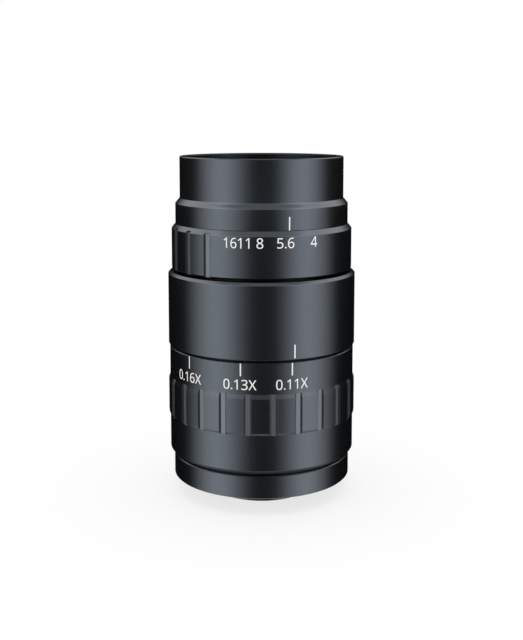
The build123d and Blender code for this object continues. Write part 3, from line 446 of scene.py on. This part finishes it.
def make_paint():
    material, tree = new_material("white_fill")
    skin = add_node(tree, "ShaderNodeGroup", {}, node_tree=blast)
    skin.inputs["Grains per mm"].default_value = 12.0
    skin.inputs["Unevenness"].default_value = 0.12
    shade = do_math(tree, "ADD", skin.outputs["Patches"], 0.9)
    colour = add_node(tree, "ShaderNodeVectorMath", {0: (1.0, 1.0, 1.0), "Scale": shade},
                      operation="SCALE")
    bump = add_node(tree, "ShaderNodeBump", {
        "Height": do_math(tree, "MULTIPLY", skin.outputs["Height"], 0.01 * MM), "Distance": 1.0})
    shader = add_node(tree, "ShaderNodeBsdfPrincipled", {
        "Base Color": colour.outputs[0], "Roughness": 0.5, "Normal": bump.outputs[0]})
    finish_material(tree, shader.outputs[0])
    return material


white_fill = make_paint()


def apply_modifier(piece, kind, **settings):
    bpy.ops.object.select_all(action="DESELECT")
    bpy.context.view_layer.objects.active = piece
    piece.select_set(True)
    modifier = piece.modifiers.new(kind.lower(), kind)
    for name, value in settings.items():
        setattr(modifier, name, value)
    bpy.ops.object.modifier_apply(modifier=modifier.name)


def place_mark(piece, name, node, body, width, height, angle, middle):
    """Scale a flat mark to its size, stand it before the barrel, wrap it on and turn it."""
    piece.name = name
    low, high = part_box(node)
    corners = [Vector(c) for c in piece.bound_box]
    size = [max(c[i] for c in corners) - min(c[i] for c in corners) for i in range(2)]
    centre = sum(corners, Vector()) / 8
    in_middle = Matrix.Translation(-centre)
    to_size = Matrix.Diagonal((width / size[0], height / size[1], 1, 1))
    upright = Matrix.Rotation(math.pi / 2, 4, "X")
    in_front = Matrix.Translation((0, low.y - 1 * MM, middle))
    piece.data.transform(in_front @ upright @ to_size @ in_middle)
    piece.matrix_world = Matrix.Identity(4)
    apply_modifier(piece, "SHRINKWRAP", target=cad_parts[node], wrap_method="PROJECT",
                   use_project_y=True, use_positive_direction=True,
                   wrap_mode="ABOVE_SURFACE", offset=PAINT_LIFT)
    apply_modifier(piece, "SOLIDIFY", thickness=PAINT_THICKNESS, offset=-1.0)
    piece.data.transform(Matrix.Rotation(math.radians(angle), 4, "Z"))
    piece.data.materials.clear()
    piece.data.materials.append(white_fill)
    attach(piece, body)
    print("%s at %.1f degrees, %.1f mm up" % (name, angle, middle / MM))


# Blender's own fallback font has plain sans-serif figures, whose 1 has its flag.
SANS = {str(digit): chr(0x1D7E2 + digit) for digit in range(10)} | {"X": chr(0x1D5B7)}


def write_mark(text, name, node, body, width, height, angle, middle):
    bpy.ops.object.select_all(action="DESELECT")
    bpy.ops.object.text_add(location=(0, 0, 0))
    piece = bpy.context.object
    piece.data.body = "".join(SANS.get(letter, letter) for letter in text)
    piece.data.resolution_u = 6
    bpy.ops.object.convert(target="MESH")
    bpy.ops.object.mode_set(mode="EDIT")
    bpy.ops.mesh.select_all(action="SELECT")
    bpy.ops.mesh.quads_convert_to_tris()
    bpy.ops.mesh.subdivide(number_cuts=2)
    bpy.ops.object.mode_set(mode="OBJECT")
    place_mark(bpy.context.object, name, node, body, width, height, angle, middle)


def draw_line(name, node, body, angle, low, high):
    bpy.ops.object.select_all(action="DESELECT")
    bpy.ops.mesh.primitive_plane_add(size=1.0, location=(0, 0, 0))
    bpy.ops.object.mode_set(mode="EDIT")
    bpy.ops.mesh.subdivide(number_cuts=3)
    bpy.ops.object.mode_set(mode="OBJECT")
    place_mark(bpy.context.object, name, node, body, LINE_WIDTH, high - low, angle, (low + high) / 2)


# %% Write the aperture scale
APERTURE_FIGURES = {"16": (-18.84, 3.06), "11": (-10.56, 2.68), "8": (-0.94, 1.54),
                    "5.6": (14.42, 4.06), "4": (32.94, 1.78)}
FIGURE_HEIGHT = 2.4 * MM
FIGURE_UP = 8.38 * MM
INDEX_GAP, INDEX_LENGTH = 0.03 * MM, 3.1 * MM
figure_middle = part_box("aperture_ring")[0].z + FIGURE_UP
for text, (angle, width) in APERTURE_FIGURES.items():
    write_mark(text, "aperture_figure_" + text.replace(".", "_"), "aperture_ring", "aperture_ring",
               width * MM, FIGURE_HEIGHT, angle, figure_middle)
index_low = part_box("front_barrel")[0].z + INDEX_GAP
draw_line("aperture_index", "front_barrel", "lens_head", 17.53, index_low,
          index_low + INDEX_LENGTH)

# %% Write the magnification scale
MAGNIFICATIONS = {"0.16X": (-48.89, -48.31, 8.34), "0.13X": (-12.80, -12.25, 7.83),
                  "0.11X": (18.28, 18.16, 7.75)}
NUMBER_DOWN, TICK_DOWN, TICK_LENGTH = 5.6 * MM, 0.65 * MM, 2.92 * MM
BARREL_INDEX_GAP, BARREL_INDEX_LENGTH = 0.43 * MM, 3.17 * MM
ring_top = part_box("magnification_ring")[1].z
for text, (angle, tick_angle, width) in MAGNIFICATIONS.items():
    name = "magnification_" + text[2:4]
    write_mark(text, name, "magnification_ring", "magnification_ring",
               width * MM, FIGURE_HEIGHT, angle, ring_top - NUMBER_DOWN)
    draw_line(name + "_tick", "magnification_ring", "magnification_ring", tick_angle,
              ring_top - TICK_DOWN - TICK_LENGTH, ring_top - TICK_DOWN)
index_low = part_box("middle_barrel")[0].z + BARREL_INDEX_GAP
draw_line("magnification_index", "middle_barrel", "base", 19.43, index_low,
          index_low + BARREL_INDEX_LENGTH)

# %% [markdown]
# Two fine threads hold this lens and what is screwed into it: the camera thread at the foot, one
# inch across, and the filter thread inside the rim. In the solids both are plain, at their
# outermost size. A thread could be a bump in the material, but its saw-tooth shows at the edge
# of the metal. So a copy of each part is cut by a real helix: the outline of one groove, drawn
# as a small plane with its inner edge drawn in, is swept round and up by a screw modifier, and a
# boolean takes it away.

# %% A helper that cuts a thread
THREAD_STEPS = 72
FLANK = math.tan(math.radians(30))
CUTTER_SPARE, CUTTER_LIFT = 0.28 * MM, 0.02 * MM
MERGE = 0.001 * MM
SMOOTH_BELOW = math.radians(25)


def draw_groove(surface, depth, pitch, crest, start, side):
    """Draw a groove's outline just outside the metal; side is 1 where the metal lies outwards."""
    opening = pitch - crest
    root = opening - 2 * depth * FLANK
    mouth = opening + 2 * CUTTER_LIFT * FLANK
    middle = (surface - side * (CUTTER_LIFT + CUTTER_SPARE / 2), 0, start)
    bpy.ops.object.select_all(action="DESELECT")
    bpy.ops.mesh.primitive_plane_add(size=1.0, location=(0, 0, 0), rotation=(math.pi / 2, 0, 0))
    bpy.ops.object.transform_apply(location=True, rotation=True, scale=True)
    cutter = bpy.context.object
    bpy.ops.object.mode_set(mode="EDIT")
    bpy.ops.transform.resize(value=(CUTTER_SPARE, 1.0, mouth))
    bpy.ops.transform.translate(value=middle)
    bpy.ops.mesh.select_all(action="DESELECT")
    bpy.ops.object.mode_set(mode="OBJECT")
    for vertex in cutter.data.vertices:
        vertex.select = side * (vertex.co.x - middle[0]) > 0
    bpy.ops.object.mode_set(mode="EDIT")
    bpy.ops.mesh.select_mode(type="EDGE")
    inwards = side * (depth + CUTTER_LIFT)
    bpy.ops.mesh.extrude_region_move(TRANSFORM_OT_translate={"value": (inwards, 0, 0)})
    bpy.ops.transform.resize(value=(1.0, 1.0, root / mouth))
    bpy.ops.mesh.select_mode(type="VERT")
    bpy.ops.mesh.select_all(action="SELECT")
    bpy.ops.mesh.dissolve_faces()
    bpy.ops.mesh.delete(type="ONLY_FACE")
    bpy.ops.object.mode_set(mode="OBJECT")
    return cutter


def cut_thread(node, body, surface, depth, pitch, crest, start, turns, side):
    cutter = draw_groove(surface, depth, pitch, crest, start, side)
    apply_modifier(cutter, "SCREW", axis="Z", angle=2 * math.pi, screw_offset=pitch,
                   iterations=turns, steps=THREAD_STEPS, render_steps=THREAD_STEPS)
    bpy.ops.object.mode_set(mode="EDIT")
    bpy.ops.mesh.select_all(action="SELECT")
    bpy.ops.mesh.remove_doubles(threshold=MERGE)
    bpy.ops.mesh.fill_holes(sides=6)
    bpy.ops.mesh.normals_make_consistent(inside=False)
    bpy.ops.object.mode_set(mode="OBJECT")

    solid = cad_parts[node]
    piece = bpy.data.objects.new(node + "_threaded", solid.data.copy())
    bpy.context.scene.collection.objects.link(piece)
    bpy.ops.object.select_all(action="DESELECT")
    bpy.context.view_layer.objects.active = piece
    piece.select_set(True)
    bpy.ops.mesh.customdata_custom_splitnormals_clear()
    bpy.ops.object.mode_set(mode="EDIT")
    bpy.ops.mesh.select_all(action="SELECT")
    bpy.ops.mesh.remove_doubles(threshold=MERGE)
    bpy.ops.object.mode_set(mode="OBJECT")
    before = len(piece.data.polygons)
    apply_modifier(piece, "BOOLEAN", operation="DIFFERENCE", object=cutter, solver="EXACT")
    bpy.ops.object.shade_smooth_by_angle(angle=SMOOTH_BELOW)
    bpy.data.objects.remove(cutter)
    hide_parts(node)
    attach(piece, body)
    print("%s: %d faces, then %d" % (piece.name, before, len(piece.data.polygons)))


# %% Cut the camera thread and the filter thread
INCH = 25.4 * MM
MOUNT_PITCH = INCH / 32
FILTER_PITCH = 0.5 * MM
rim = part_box("front_barrel")[1].z
cut_thread("mount_ring", "base", surface=INCH / 2, depth=0.43 * MM,
           pitch=MOUNT_PITCH, crest=MOUNT_PITCH / 8, start=-0.5 * MM, turns=5, side=-1)
cut_thread("front_barrel", "lens_head", surface=18.479 * MM, depth=0.25 * MM,
           pitch=FILTER_PITCH, crest=FILTER_PITCH / 4, start=rim - 6.75 * MM, turns=14, side=1)
